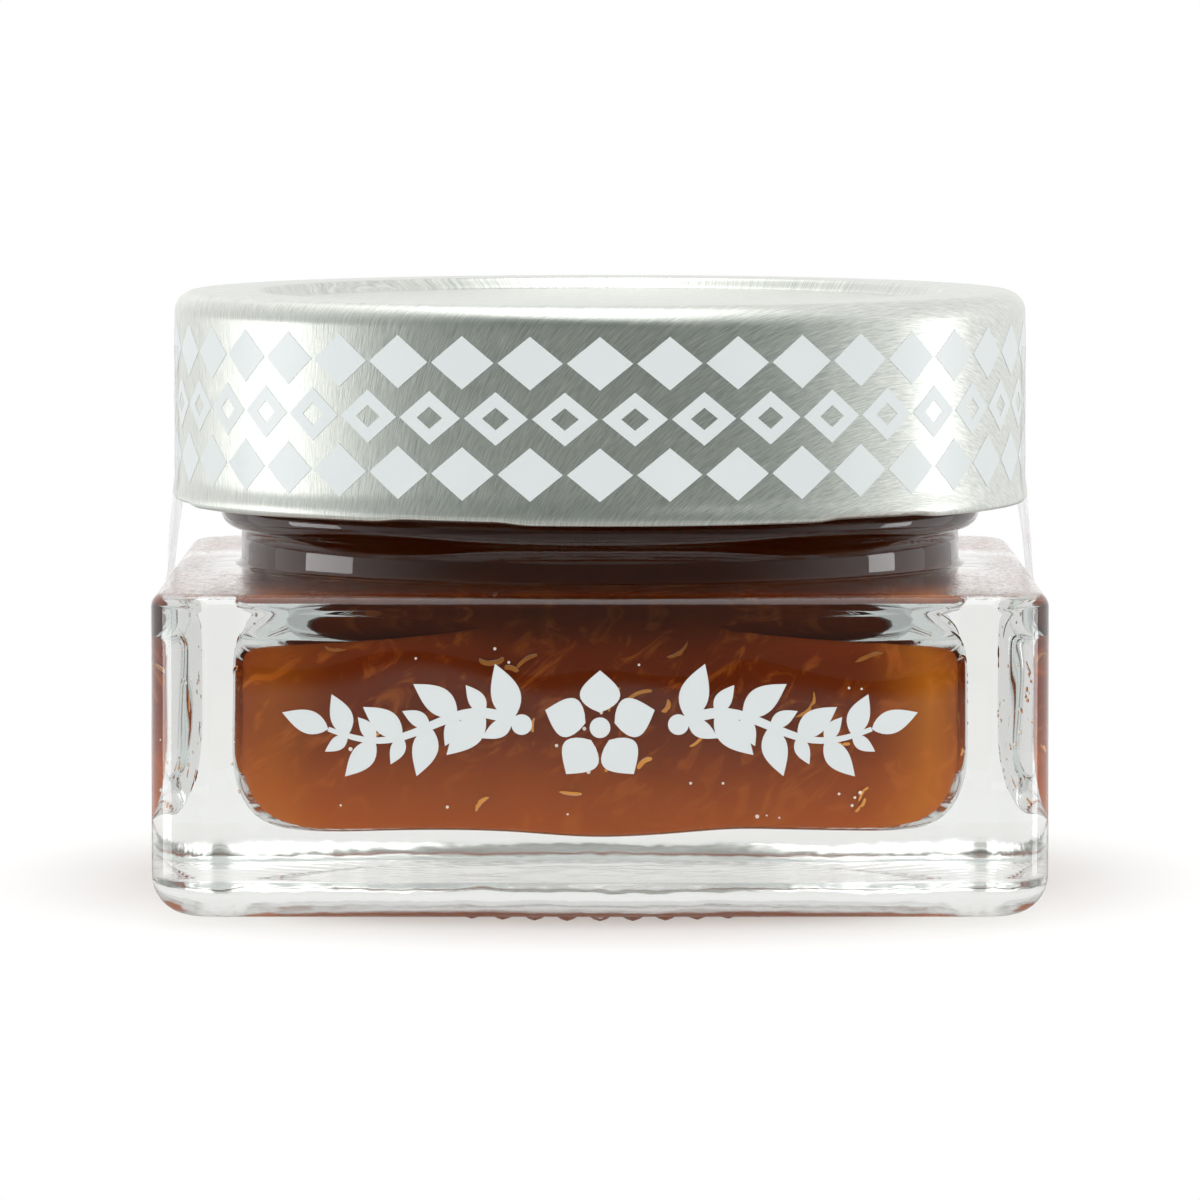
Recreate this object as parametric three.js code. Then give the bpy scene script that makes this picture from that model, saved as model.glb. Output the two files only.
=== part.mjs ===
// A low square jar of thick clear glass, filled with marmalade and shut by a deep round metal twist-off lid.
// A strip of clear seal film joins the lid to the glass at each side.
// Millimetres, +Z up, the origin under the middle of the base, and the front face towards -Y.

import * as THREE from "three";

// Glass body
const BODY_HALF = 37; // half the width across the flat faces
const BODY_CORNER = 5.5; // radius of the upright corners
const BODY_FOOT = 0.7; // height of the body's underside over the bearing ring
const BODY_TOP = 27.4; // height of the shoulder at its outer edge
const BOTTOM_ROUND = 3.3; // radius of the lower edge
const TOP_ROUND = 1.3; // radius of the shoulder's edge
const RING_OUTER = 31.7; // bearing ring that the jar stands on
const RING_INNER = 29.3;
const UNDERSIDE = 1.1; // height of the hollow inside the bearing ring

// Neck and finish
const NECK_RADIUS = 30.8;
const NECK_ROOT = 27.6; // height where the shoulder meets the neck's fillet
const NECK_FILLET = 0.7;
const BEAD_RADIUS = 32.6;
const BEAD_LOW = 30.7;
const BEAD_MIDDLE = 32.2;
const BEAD_HIGH = 33.4;
const FINISH_RADIUS = 31.4;
const RIM_TOP = 49.3;
const RIM_ROUND = 0.7;
const BORE_RADIUS = 27.3;

// Cavity
const CAVITY_HALF = 30.5;
const CAVITY_CORNER = 12;
const FLOOR = 7.4;
const FLOOR_ARCH = 0.16; // how far the floor's edge sinks at the faces' middles and rises at the corners
const FLOOR_WAVE = 0.18; // how far it sinks at both and rises between them
const FLOOR_ROUND_OUT = 3.6; // the wall runs into the floor in a curve that wide and that high
const FLOOR_ROUND_UP = 6;
const CORNER_SHRINK = 0.8; // how much the cavity's corner radius shrinks for each millimetre of that curve
const LEDGE_LOW = 18.6; // where the wall turns in below the shoulder
const LEDGE_HIGH = 25.8; // where it has reached the bore
const LEDGE_TURN = 0.72; // share of that height where the wall is halfway in
const LEDGE_SHARPNESS = 2.9; // how suddenly it turns in there
const LEDGE_SHARES = [0, 0.3, 0.45, 0.56, 0.65, 0.72, 0.78, 0.85, 1]; // shares of that height with a ring

// Marmalade
const FILL_LEVEL = 44.7;
const FILL_GAP = 0.2;

// Lid
const LID_RADIUS = 36.5;
const LID_TOP = 51;
const LID_BOTTOM = 33;
const LID_SHEET = 0.4;
const LID_CORNER = 1.8;
const PANEL_DROP = 0.95; // depth of the middle panel below the raised ring
const PANEL_RADIUS = 28.6;
const PANEL_WALL = 0.9; // width of the wall between the panel and the ring
const CURL_RADIUS = 0.55;
const CURL_FLARE = 0.2; // how far the curl stands out past the skirt
const LUG_COUNT = 6;
const LUG_SPAN = 22; // degrees
const LUG_FIRST = -110; // degrees from +X, the middle of the first lug
const LUG_REACH = 2.1; // how far a lug reaches inside the curl
const LUG_LIFT = 0.18; // how much higher the edge is along a lug

// Seal film
const FILM_WIDTH = 14;
const FILM_THICK = 0.15;
const FILM_GAP = 0.12;
const FILM_TOP = 46.4;
const FILM_BOTTOM = 13;
const FILM_LEAVES_LID = 33.2;
const FILM_MEETS_GLASS = 26;

const ARC_STEPS = 4;
const LID_DIRECTIONS = 72;
const DEGREE = Math.PI / 180;

// Distance from the axis to a rounded square's outline, in a direction given in radians. A circle is one whose
// corner radius is its half width.
function squareReach(half, corner, angle) {
  const x = Math.abs(Math.cos(angle));
  const y = Math.abs(Math.sin(angle));
  const far = Math.max(x, y);
  const near = Math.min(x, y);
  const middle = half - corner;
  if (near / far * half <= middle) return half / far;
  const along = (far + near) * middle;
  return along + Math.sqrt(along * along - 2 * middle * middle + corner * corner);
}

const square = (half, corner, z) => ({ reach: (angle) => squareReach(half, corner, angle), height: () => z });
const circle = (radius, z) => ({ reach: () => radius, height: () => z });

// Directions round the jar in radians: even steps, with two more beside each corner's middle.
function squareDirections() {
  const quarter = [0, 9, 18, 27, 36, 40.8, 42.9, 45, 47.1, 49.2, 54, 63, 72, 81];
  return [0, 90, 180, 270].flatMap((start) => quarter.map((step) => (start + step) * DEGREE));
}

const roundDirections = (count) => Array.from({ length: count }, (_, i) => (i * 360 / count) * DEGREE);

// Closed body through a row of rings, from a point on the axis to another. Going out and up on the outside keeps
// its faces pointing out.
function loft(directions, startZ, rings, endZ) {
  const around = directions.length;
  const points = [0, 0, startZ];
  for (const ring of rings) {
    for (const angle of directions) {
      const r = ring.reach(angle);
      points.push(r * Math.cos(angle), r * Math.sin(angle), ring.height(angle));
    }
  }
  points.push(0, 0, endZ);
  const last = rings.length * around + 1;
  const at = (ring, step) => 1 + ring * around + (step % around);
  const faces = [];
  for (let j = 0; j < around; j++) {
    faces.push(0, at(0, j + 1), at(0, j));
    for (let i = 0; i + 1 < rings.length; i++) {
      faces.push(at(i, j), at(i, j + 1), at(i + 1, j + 1));
      faces.push(at(i, j), at(i + 1, j + 1), at(i + 1, j));
    }
    faces.push(last, at(rings.length - 1, j), at(rings.length - 1, j + 1));
  }
  return closedGeometry(points, faces);
}

function closedGeometry(points, faces) {
  const geometry = new THREE.BufferGeometry();
  geometry.setAttribute("position", new THREE.Float32BufferAttribute(points, 3));
  geometry.setIndex(faces);
  geometry.computeVertexNormals();
  return geometry;
}

// Values from 0 to 1 along an arc, both ends included.
const steps = (count) => Array.from({ length: count + 1 }, (_, i) => i / count);

// Rings of the cavity from its floor to the bore, moved in from the glass by a gap.
function cavityRings(gap) {
  const half = CAVITY_HALF - gap;
  const corner = CAVITY_CORNER - gap;
  const bore = BORE_RADIUS - gap;
  const arched = (ring, share) => ({
    reach: ring.reach,
    height: (angle) =>
      ring.height(angle) - share * (FLOOR_ARCH * Math.cos(4 * angle) + FLOOR_WAVE * Math.cos(8 * angle)),
  });
  const floor = steps(ARC_STEPS).map((t) => {
    const inset = FLOOR_ROUND_OUT * (1 - Math.sin(t * Math.PI / 2));
    const rise = FLOOR_ROUND_UP * (1 - Math.cos(t * Math.PI / 2));
    const ring = square(half - inset, corner - inset * CORNER_SHRINK, FLOOR + gap + rise);
    return arched(ring, Math.cos(t * Math.PI / 2));
  });
  const edgeHalf = half - FLOOR_ROUND_OUT;
  const edgeCorner = corner - FLOOR_ROUND_OUT * CORNER_SHRINK;
  const floorMiddle = arched(square(edgeHalf / 2, edgeCorner / 2, FLOOR + gap), 0.25);
  const lean = LEDGE_TURN / (1 - LEDGE_TURN);
  const ledge = LEDGE_SHARES.map((up) => {
    const inward = up === 0 ? 0 : 1 / (1 + (lean * (1 - up) / up) ** LEDGE_SHARPNESS);
    return square(
      THREE.MathUtils.lerp(half, bore, inward),
      THREE.MathUtils.lerp(corner, bore, inward),
      THREE.MathUtils.lerp(LEDGE_LOW, LEDGE_HIGH, up) - gap,
    );
  });
  return [floorMiddle, ...floor, ...ledge];
}

function glassJar() {
  const under = [
    circle(RING_INNER - 0.6, UNDERSIDE),
    circle(RING_INNER, 0),
    circle(RING_OUTER, 0),
    circle(RING_OUTER + 0.4, BODY_FOOT),
  ];
  const lowerEdge = steps(ARC_STEPS).map((t) => {
    const inset = BOTTOM_ROUND * (1 - Math.sin(t * Math.PI / 2));
    const rise = BOTTOM_ROUND * (1 - Math.cos(t * Math.PI / 2));
    return square(BODY_HALF - inset, BODY_CORNER - inset, BODY_FOOT + rise);
  });
  const shoulderEdge = steps(ARC_STEPS).map((t) => {
    const inset = TOP_ROUND * (1 - Math.cos(t * Math.PI / 2));
    const drop = TOP_ROUND * (1 - Math.sin(t * Math.PI / 2));
    return square(BODY_HALF - inset, BODY_CORNER - inset, BODY_TOP - drop);
  });
  const neckFoot = steps(ARC_STEPS - 1).map((t) => {
    const out = NECK_FILLET * (1 - Math.sin(t * Math.PI / 2));
    return circle(NECK_RADIUS + out, NECK_ROOT + NECK_FILLET * (1 - Math.cos(t * Math.PI / 2)));
  });
  const beadUnder = steps(ARC_STEPS - 1).map((t) => {
    const out = (BEAD_RADIUS - NECK_RADIUS) * Math.sin(t * Math.PI / 2);
    return circle(NECK_RADIUS + out, BEAD_LOW + (BEAD_MIDDLE - BEAD_LOW) * (1 - Math.cos(t * Math.PI / 2)));
  });
  const beadOver = steps(ARC_STEPS - 1).slice(1).map((t) => {
    const out = (BEAD_RADIUS - FINISH_RADIUS) * Math.cos(t * Math.PI / 2);
    return circle(FINISH_RADIUS + out, BEAD_MIDDLE + (BEAD_HIGH - BEAD_MIDDLE) * Math.sin(t * Math.PI / 2));
  });
  const rim = [
    circle(FINISH_RADIUS, RIM_TOP - RIM_ROUND),
    circle(FINISH_RADIUS - RIM_ROUND, RIM_TOP),
    circle(BORE_RADIUS + RIM_ROUND, RIM_TOP),
    circle(BORE_RADIUS, RIM_TOP - RIM_ROUND),
  ];
  const rings = [
    ...under,
    ...lowerEdge,
    ...shoulderEdge,
    ...neckFoot,
    ...beadUnder,
    ...beadOver,
    ...rim,
    ...cavityRings(0).reverse(),
  ];
  return loft(squareDirections(), UNDERSIDE, rings, FLOOR);
}

function marmalade() {
  const rings = [...cavityRings(FILL_GAP), circle(BORE_RADIUS - FILL_GAP, FILL_LEVEL)];
  return loft(squareDirections(), FLOOR + FILL_GAP, rings, FILL_LEVEL);
}

// 1 in the middle of a lug, 0 between two lugs, with a smooth step at each end.
function lugShare(angle) {
  const pitch = 360 / LUG_COUNT;
  const turn = THREE.MathUtils.euclideanModulo(angle / DEGREE - LUG_FIRST + pitch / 2, pitch) - pitch / 2;
  return 1 - THREE.MathUtils.smoothstep(Math.abs(turn), LUG_SPAN / 2 - 5, LUG_SPAN / 2);
}

// Rings of the rolled edge from the skirt's outside, round below, to its inside. Each lug is pressed inwards.
function curlRings() {
  const middle = LID_RADIUS + CURL_FLARE - CURL_RADIUS;
  const arc = steps(2 * ARC_STEPS).map((t) => t * Math.PI);
  return arc.map((a) => {
    const inside = (1 - Math.cos(a)) / 2;
    return {
      reach: (angle) => middle + CURL_RADIUS * Math.cos(a) - LUG_REACH * lugShare(angle) * inside ** 2,
      height: (angle) => LID_BOTTOM + CURL_RADIUS * (1 - Math.sin(a)) + LUG_LIFT * lugShare(angle),
    };
  });
}

function lid() {
  const panelTop = LID_TOP - PANEL_DROP;
  const ringEdge = PANEL_RADIUS + PANEL_WALL;
  const inside = LID_RADIUS - LID_SHEET;
  const cornerArc = (radius, turn) =>
    steps(ARC_STEPS).map((t) => {
      const a = (turn > 0 ? t : 1 - t) * Math.PI / 2;
      const middleR = LID_RADIUS - LID_CORNER;
      return circle(middleR + radius * Math.cos(a), LID_TOP - LID_CORNER + radius * Math.sin(a));
    });
  const skirtEnd = LID_BOTTOM + 3 * CURL_RADIUS;
  const rings = [
    circle(ringEdge - PANEL_WALL - 0.5, panelTop - LID_SHEET),
    circle(ringEdge - PANEL_WALL + LID_SHEET, panelTop - LID_SHEET + 0.1),
    circle(ringEdge + LID_SHEET, LID_TOP - LID_SHEET),
    ...cornerArc(LID_CORNER - LID_SHEET, -1),
    circle(inside, skirtEnd),
    ...curlRings().reverse(),
    circle(LID_RADIUS, skirtEnd),
    ...cornerArc(LID_CORNER, 1),
    circle(ringEdge + 0.2, LID_TOP),
    circle(ringEdge - 0.2, LID_TOP - 0.25),
    circle(PANEL_RADIUS + 0.2, panelTop + 0.15),
    circle(PANEL_RADIUS - 0.3, panelTop),
  ];
  return loft(roundDirections(LID_DIRECTIONS), panelTop - LID_SHEET, rings, panelTop);
}

// Distance of the film's inner face from the middle plane, at a height and a place across the film.
function filmReach(z, across, side) {
  const radius = LID_RADIUS + CURL_FLARE + FILM_GAP;
  const onLid = Math.sqrt(radius * radius - across * across);
  const onGlass = BODY_HALF + FILM_GAP;
  const free = THREE.MathUtils.clamp((FILM_LEAVES_LID - z) / (FILM_LEAVES_LID - FILM_MEETS_GLASS), 0, 1);
  return side * THREE.MathUtils.lerp(onLid, onGlass, free);
}

// Strip of film down one side: a grid of points on its inner and outer faces, closed round its edge.
function sealStrip(side) {
  const mix = THREE.MathUtils.lerp;
  const free = [0, 0.35, 0.7].map((t) => mix(FILM_LEAVES_LID, FILM_MEETS_GLASS, t));
  const rows = [FILM_TOP, mix(FILM_TOP, FILM_LEAVES_LID, 0.5), ...free, FILM_MEETS_GLASS, FILM_BOTTOM];
  const across = steps(8).map((t) => (t - 0.5) * FILM_WIDTH);
  const wide = across.length;
  const points = [];
  for (const out of [0, FILM_THICK]) {
    for (const z of rows) {
      for (const y of across) points.push(filmReach(z, y, side) + side * out, y, z);
    }
  }
  const at = (face, row, column) => (face * rows.length + row) * wide + column;
  const faces = [];
  const quad = (a, b, c, d) => {
    if (side > 0) faces.push(a, b, c, a, c, d);
    else faces.push(a, c, b, a, d, c);
  };
  const lastRow = rows.length - 1;
  const lastColumn = wide - 1;
  for (let i = 0; i < lastRow; i++) {
    for (let j = 0; j < lastColumn; j++) {
      quad(at(0, i, j), at(0, i, j + 1), at(0, i + 1, j + 1), at(0, i + 1, j));
      quad(at(1, i, j), at(1, i + 1, j), at(1, i + 1, j + 1), at(1, i, j + 1));
    }
    quad(at(0, i, 0), at(0, i + 1, 0), at(1, i + 1, 0), at(1, i, 0));
    quad(at(0, i, lastColumn), at(1, i, lastColumn), at(1, i + 1, lastColumn), at(0, i + 1, lastColumn));
  }
  for (let j = 0; j < lastColumn; j++) {
    quad(at(0, 0, j), at(1, 0, j), at(1, 0, j + 1), at(0, 0, j + 1));
    quad(at(0, lastRow, j), at(0, lastRow, j + 1), at(1, lastRow, j + 1), at(1, lastRow, j));
  }
  return closedGeometry(points, faces);
}

function part(name, geometry, looks) {
  const mesh = new THREE.Mesh(geometry, new THREE.MeshStandardMaterial(looks));
  mesh.name = name;
  return mesh;
}

const clearGlass = { color: 0xe9efec, roughness: 0.03, metalness: 0, transparent: true, opacity: 0.35 };
const amberJam = { color: 0x8a4a1c, roughness: 0.25, metalness: 0 };
const brushedTin = { color: 0xb9bdb6, roughness: 0.32, metalness: 1 };
const clearFilm = { color: 0xe6e2e2, roughness: 0.2, metalness: 0, transparent: true, opacity: 0.4 };

const group = new THREE.Group();
group.add(
  part("glass_jar", glassJar(), clearGlass),
  part("marmalade", marmalade(), amberJam),
  part("lid", lid(), brushedTin),
  part("seal_strip_left", sealStrip(-1), clearFilm),
  part("seal_strip_right", sealStrip(1), clearFilm),
);

export default group;
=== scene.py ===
"""Looks of a square jar of marmalade: thick clear glass, amber filling with peel, lid, print and seal film.

Sizes are in millimetres and turned into metres when a mesh is made. The front face looks towards -Y.
"""

import math

import bpy
import numpy as np
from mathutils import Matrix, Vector
from mathutils.geometry import tessellate_polygon


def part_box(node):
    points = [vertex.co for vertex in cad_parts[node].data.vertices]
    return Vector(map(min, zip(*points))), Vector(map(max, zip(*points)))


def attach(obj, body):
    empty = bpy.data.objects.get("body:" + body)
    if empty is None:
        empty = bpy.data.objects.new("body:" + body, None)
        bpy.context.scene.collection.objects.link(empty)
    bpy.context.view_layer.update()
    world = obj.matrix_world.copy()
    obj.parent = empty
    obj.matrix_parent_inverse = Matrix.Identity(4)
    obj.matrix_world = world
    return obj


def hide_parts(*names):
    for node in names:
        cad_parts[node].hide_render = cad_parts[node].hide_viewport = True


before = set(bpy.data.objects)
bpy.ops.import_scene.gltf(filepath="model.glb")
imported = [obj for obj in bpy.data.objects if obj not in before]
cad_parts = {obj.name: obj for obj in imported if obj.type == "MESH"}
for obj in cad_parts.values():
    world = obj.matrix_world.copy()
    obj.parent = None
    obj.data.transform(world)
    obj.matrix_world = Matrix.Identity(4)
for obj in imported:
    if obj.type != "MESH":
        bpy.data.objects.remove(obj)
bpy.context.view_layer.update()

MM = 0.001


def box_mm(node):
    """A CAD node's lowest and highest corners in millimetres."""
    low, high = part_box(node)
    return np.array(low) / MM, np.array(high) / MM


GLASS_HIGH = box_mm("glass_jar")[1]
JAM_HIGH = box_mm("marmalade")[1]
LID_LOW, LID_HIGH = box_mm("lid")
FILM_LOW, FILM_HIGH = box_mm("seal_strip_right")

# Glass body
INK_DEPTH = 0.04  # the print stands this far out of the glass, and the glass that far inside the CAD box
BODY_HALF = GLASS_HIGH[0] - INK_DEPTH
BODY_CORNER = 5.5
BODY_FOOT = 0.7
BODY_TOP = 27.4
BOTTOM_ROUND = 3.3
TOP_ROUND = 1.3
UNDERSIDE = 1.1
UNDERSIDE_RINGS = (8, 16, 22, 27)
SHOULDER_SHARES = (0.03, 0.2, 0.4, 0.6, 0.8, 0.97)

# Bearing ring
RING_OUTER = 31.7
RING_INNER = 29.3
RING_BUMPS = 72
RING_BUMP_POWER = 0.7  # below 1, the bumps are wider than the gaps between them
RING_PROFILE = (  # distance from the axis, and how far a bump reaches down there as a share of the foot
    (RING_INNER - 0.6, -0.55), (RING_INNER, 0.55), (RING_INNER + 0.5, 0.95),
    ((RING_INNER + RING_OUTER) / 2, 1.0),
    (RING_OUTER - 0.5, 0.95), (RING_OUTER, 0.55), (RING_OUTER + 0.4, 0.0),
)

# Neck and finish
NECK_RADIUS = 30.8
NECK_ROOT = 27.6
NECK_FILLET = 0.6
NECK_TAPER = 0.04  # how much wider the neck is at its foot
BEAD_RADIUS = 32.6
BEAD_LOW = 30.7
BEAD_MIDDLE = 32.2
BEAD_HIGH = 33.4
FINISH_RADIUS = 31.4
FINISH_MARGIN = 0.3  # the finish is straight up to this far from its ends
RIM_TOP = GLASS_HIGH[2]
RIM_ROUND = 0.7
BORE_RADIUS = 27.3

# Cavity
CAVITY_HALF = 30.5
CAVITY_CORNER = 12.0
FLOOR = 7.4
FLOOR_SHARES = (0.2, 0.4, 0.6, 0.8)  # rings on the floor, as shares of its flat part
FLOOR_CORNER = 0.6  # corner radius of those rings over their half width
FLOOR_ARCH = 0.16  # how far the floor's edge sinks at the middles of the faces and rises at the corners
FLOOR_WAVE = 0.18  # how far it sinks at both, and rises between them
FLOOR_ROUND_OUT = 3.6
FLOOR_ROUND_UP = 6.0
CORNER_SHRINK = 0.8  # how much the corner radius shrinks for each millimetre of that curve
LEDGE_LOW = 18.6
LEDGE_HIGH = 25.8
LEDGE_TURN = 0.72  # share of the ledge's height where it is halfway in
LEDGE_SHARPNESS = 2.9
BORE_FOOT = LEDGE_HIGH + 0.6

# Marmalade
JAM_INTO_GLASS = 0.05
JAM_LEVELS = (30, 36)  # rings on its side in the bore
JAM_DISH = 0.2  # how far the middle of its top is sunk
JAM_DISH_RADIUS = 14
JAM_RIM_OUT = 0.3  # its top edge slopes in by this much
JAM_RIM_UP = 0.4
FILL_LEVEL = JAM_HIGH[2]

# Lid
CURL_FLARE = 0.2
LID_RADIUS = LID_HIGH[0] - CURL_FLARE
LID_TOP = LID_HIGH[2]
LID_BOTTOM = LID_LOW[2]
LID_SHEET = 0.3
LID_SIDES = 360
LID_CORNER = 1.8
PANEL_DROP = 0.95
PANEL_TOP = LID_TOP - PANEL_DROP
PANEL_RADIUS = 28.6
PANEL_WALL = 0.9
CURL_RADIUS = 0.55
LUG_COUNT = 6
LUG_SPAN = 22  # degrees
LUG_EASE = 5  # degrees over which a lug rises at either end
LUG_FIRST = -110  # degrees
LUG_REACH = 2.1
LUG_LIFT = 0.18

# Camera, from the photograph's own perspective
CAMERA_DISTANCE = 700
CAMERA_HEIGHT = 77.5
CAMERA_PITCH = math.radians(4.35)
FOCAL_PIXELS = 8150
PHOTO_WIDTH = 1200
SENSOR = 36.0


# Mesh making

def mesh_object(name, points, faces, material, slot, smooth=True):
    """A piece from points in millimetres, with its material, riding on the jar when a slot is given."""
    mesh = bpy.data.meshes.new(name)
    mesh.from_pydata((np.asarray(points, float) * MM).tolist(), [], faces)
    mesh.update()
    mesh.polygons.foreach_set("use_smooth", [smooth] * len(mesh.polygons))
    piece = bpy.data.objects.new(name, mesh)
    bpy.context.scene.collection.objects.link(piece)
    mesh.materials.append(material)
    if slot:
        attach(piece, "root")
    return piece


def square_reach(half, corner, angles):
    """Distance from the axis to a rounded square's outline. A circle's corner is its half width."""
    x, y = np.abs(np.cos(angles)), np.abs(np.sin(angles))
    far, near = np.maximum(x, y), np.minimum(x, y)
    middle = half - corner
    along = (far + near) * middle
    arc = along + np.sqrt(np.maximum(along ** 2 - 2 * middle ** 2 + corner ** 2, 0))
    return np.where(near / far * half <= middle, half / far, arc)


def circle(radius, z):
    return lambda angles: (np.full_like(angles, radius), np.full_like(angles, z))


def loft(angles, start_z, rings, end_z):
    """Points and faces of a closed body through rings, from one point on the axis to another."""
    points = [np.array([[0, 0, start_z]])]
    for ring in rings:
        reach, height = ring(angles)
        points.append(np.stack([reach * np.cos(angles), reach * np.sin(angles), height], axis=1))
    points.append(np.array([[0, 0, end_z]]))
    around = len(angles)
    last = len(rings) * around + 1
    faces = []
    for j in range(around):
        k = (j + 1) % around
        faces.append((0, 1 + k, 1 + j))
        faces += [
            (1 + i * around + j, 1 + i * around + k, 1 + (i + 1) * around + k, 1 + (i + 1) * around + j)
            for i in range(len(rings) - 1)
        ]
        base = 1 + (len(rings) - 1) * around
        faces.append((last, base + j, base + k))
    return np.concatenate(points), faces


def slab_faces(start, rows, columns):
    """Faces of a closed slab between an inner grid of points and an outer one, rows from the top down."""
    def at(layer, place):
        return start + (layer * rows + place[0]) * columns + place[1]

    faces = []
    for i in range(rows - 1):
        for j in range(columns - 1):
            cell = [(i, j), (i, j + 1), (i + 1, j + 1), (i + 1, j)]
            faces.append(tuple(at(0, place) for place in cell))
            faces.append(tuple(at(1, place) for place in cell[::-1]))
    top = [(0, j) for j in range(columns)]
    right = [(i, columns - 1) for i in range(1, rows)]
    bottom = [(rows - 1, j) for j in range(columns - 2, -1, -1)]
    left = [(i, 0) for i in range(rows - 2, 0, -1)]
    border = top + right + bottom + left
    for here, there in zip(border, border[1:] + border[:1]):
        faces.append((at(0, here), at(1, here), at(1, there), at(0, there)))
    return faces


def glass_angles():
    """Directions round the glass: every degree, and half degrees over the corners."""
    quarter = sorted(set(range(90)) | {40 + 0.5 * i for i in range(21)})
    return np.radians([start + step for start in (0, 90, 180, 270) for step in quarter])


def even_angles(count):
    return np.arange(count) * math.tau / count


def quarter_arc(count):
    """Sines and cosines of angles from 0 to 90 degrees."""
    turns = np.linspace(0, math.pi / 2, count + 1)
    return list(zip(np.sin(turns), np.cos(turns)))


def mix(a, b, t):
    return a + (b - a) * t


def clamp(value, low, high):
    return min(max(value, low), high)


def ripple(angles, z, size):
    """Slow unevenness of moulded glass, in millimetres."""
    waves = (
        np.sin(3 * angles + 1.3 + 0.21 * z)
        + 0.7 * np.sin(5 * angles - 0.9 + 0.37 * z)
        + 0.6 * np.sin(11 * angles + 2.1 - 0.29 * z)
        + 0.4 * np.sin(17 * angles + 0.4 + 0.53 * z)
    )
    return size * waves / (1 + 0.7 + 0.6 + 0.4)


# Glass

CAVITY_RIPPLE = 0.10
FLOOR_RIPPLE = 0.12
OUTER_RIPPLE = 0.025
FLOOR_RIPPLE_TURN = 0.7
OUTER_RIPPLE_TURN = 2.0
ARC = 9  # steps in a quarter round
RIM_ARC = 4
WALL_RINGS = 5
LEDGE_RINGS = 25
BODY_STEP = 1.0
EDGE_STEP = 0.2


def arch(angles):
    return FLOOR_ARCH * np.cos(4 * angles) + FLOOR_WAVE * np.cos(8 * angles)


def cavity_rings(gap):
    """Rings of the cavity from its floor to the bore, moved in from the glass by a gap."""
    half, corner, bore = CAVITY_HALF - gap, CAVITY_CORNER - gap, BORE_RADIUS - gap

    def ring(ring_half, ring_corner, z, uneven, floor_share=0.0):
        def place(angles):
            reach = square_reach(ring_half, ring_corner, angles)
            rise = ripple(angles + FLOOR_RIPPLE_TURN, reach, FLOOR_RIPPLE) - arch(angles)
            return reach + ripple(angles, z, uneven), z + floor_share * rise
        return place

    rings = []
    for share in FLOOR_SHARES:
        flat_half = (half - FLOOR_ROUND_OUT) * share
        rings.append(ring(flat_half, flat_half * FLOOR_CORNER, FLOOR + gap, 0, share ** 2))
    for sine, cosine in quarter_arc(ARC):
        inset = FLOOR_ROUND_OUT * (1 - sine)
        z = FLOOR + gap + FLOOR_ROUND_UP * (1 - cosine)
        rings.append(ring(half - inset, corner - inset * CORNER_SHRINK, z, CAVITY_RIPPLE * sine, cosine))
    for z in np.linspace(FLOOR + FLOOR_ROUND_UP, LEDGE_LOW, WALL_RINGS)[1:-1]:
        rings.append(ring(half, corner, z, CAVITY_RIPPLE))
    lean = LEDGE_TURN / (1 - LEDGE_TURN)
    for up in np.linspace(0, 1, LEDGE_RINGS):
        inward = 1 / (1 + (lean * (1 - up) / max(up, 1e-6)) ** LEDGE_SHARPNESS)
        z = mix(LEDGE_LOW, LEDGE_HIGH, up) - gap
        rings.append(
            ring(mix(half, bore, inward), mix(corner, bore, inward), z, CAVITY_RIPPLE * (1 - inward))
        )
    return rings


def bearing_ring():
    """The ring that the jar stands on, stippled with short radial bumps."""
    def place(radius, share):
        def ring(angles):
            bump = 0.5 + 0.5 * np.cos(RING_BUMPS * angles)
            return np.full_like(angles, radius), BODY_FOOT * (1 - share * bump ** RING_BUMP_POWER)
        return ring
    under = [circle(radius, UNDERSIDE) for radius in UNDERSIDE_RINGS]
    return under + [place(radius, share) for radius, share in RING_PROFILE]


def body_ring(inset, z):
    def place(angles):
        reach = square_reach(BODY_HALF - inset, BODY_CORNER - inset, angles)
        uneven = ripple(angles + OUTER_RIPPLE_TURN, z, OUTER_RIPPLE) - OUTER_RIPPLE
        return reach + uneven, np.full_like(angles, z)
    return place


def shoulder_ring(inner, share):
    """A ring across the shoulder, from the body's edge to the foot of the neck."""
    def place(angles):
        edge = square_reach(BODY_HALF - TOP_ROUND, BODY_CORNER - TOP_ROUND, angles)
        return mix(edge, inner, share), np.full_like(angles, mix(BODY_TOP, NECK_ROOT, share))
    return place


def body_rings():
    """Rings of the body's outside, from its rounded foot to the shoulder's inner edge."""
    low, high = BODY_FOOT + BOTTOM_ROUND, BODY_TOP - TOP_ROUND
    straight = np.arange(low + BODY_STEP, high - BODY_STEP, BODY_STEP)
    rings = []
    for sine, cosine in quarter_arc(ARC):
        rings.append(body_ring(BOTTOM_ROUND * (1 - sine), BODY_FOOT + BOTTOM_ROUND * (1 - cosine)))
    rings += [body_ring(0, z) for z in (low + EDGE_STEP, *straight, high - EDGE_STEP)]
    for sine, cosine in quarter_arc(ARC):
        rings.append(body_ring(TOP_ROUND * (1 - cosine), BODY_TOP - TOP_ROUND * (1 - sine)))
    inner = NECK_RADIUS + NECK_TAPER + NECK_FILLET
    return rings + [shoulder_ring(inner, share) for share in SHOULDER_SHARES]


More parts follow.
